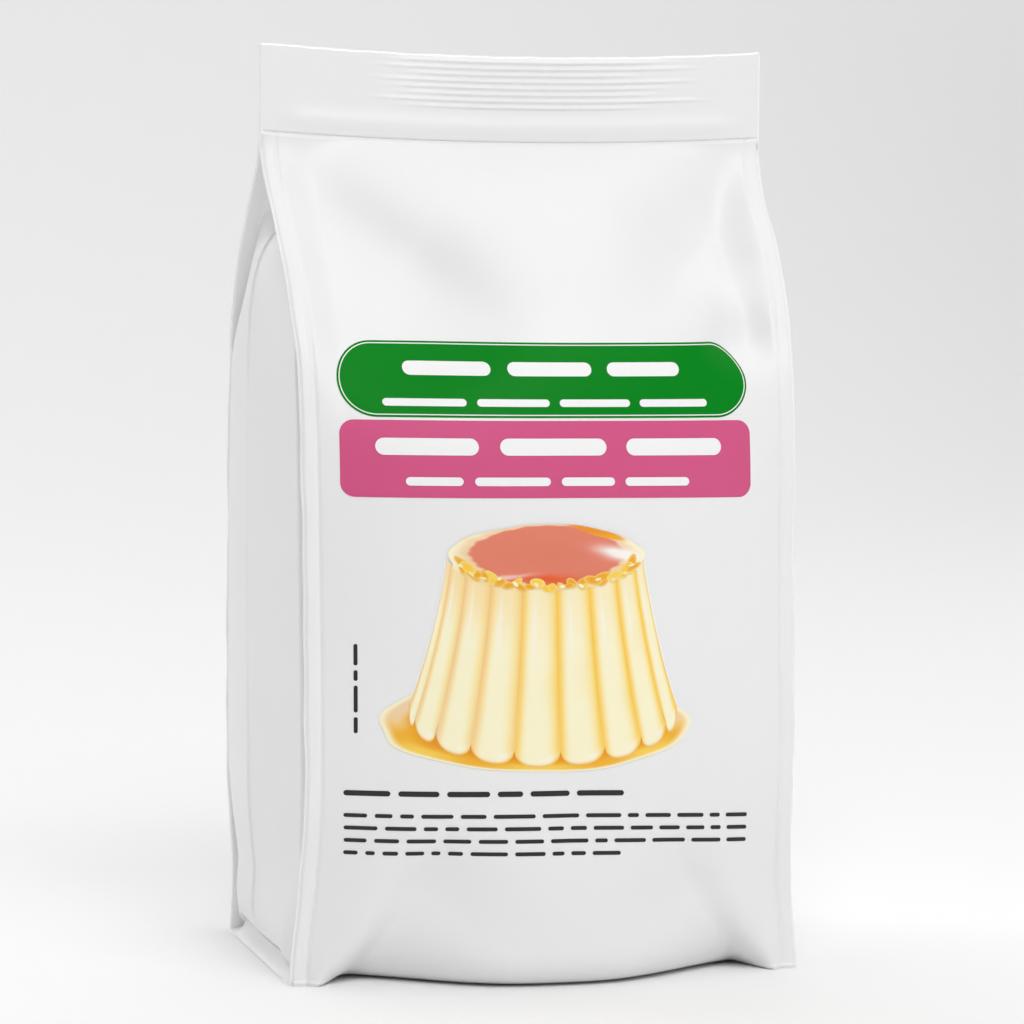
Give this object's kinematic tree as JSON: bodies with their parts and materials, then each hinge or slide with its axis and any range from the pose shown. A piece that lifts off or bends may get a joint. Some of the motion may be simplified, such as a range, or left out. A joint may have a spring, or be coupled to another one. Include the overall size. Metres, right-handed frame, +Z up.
{
  "type": "side-gusset pouch of dessert mix",
  "caption": "Standing white film pouch of powder with side gussets, welded corner fins, a crimped top band and a flat bottom with corner feet.",
  "frame": {"origin": "on the ground, under the middle of the bag's box", "axes": "+Z up along the bag's height, -Y out of the printed front panel, +X to the right seen from the front"},
  "size_m": [0.1192, 0.1014, 0.202],
  "materials": {
    "film": "white laminated film with a soft satin sheen and a printed front panel"
  },
  "bodies": {
    "root": {"pouch": "film"}
  },
  "joints": []
}
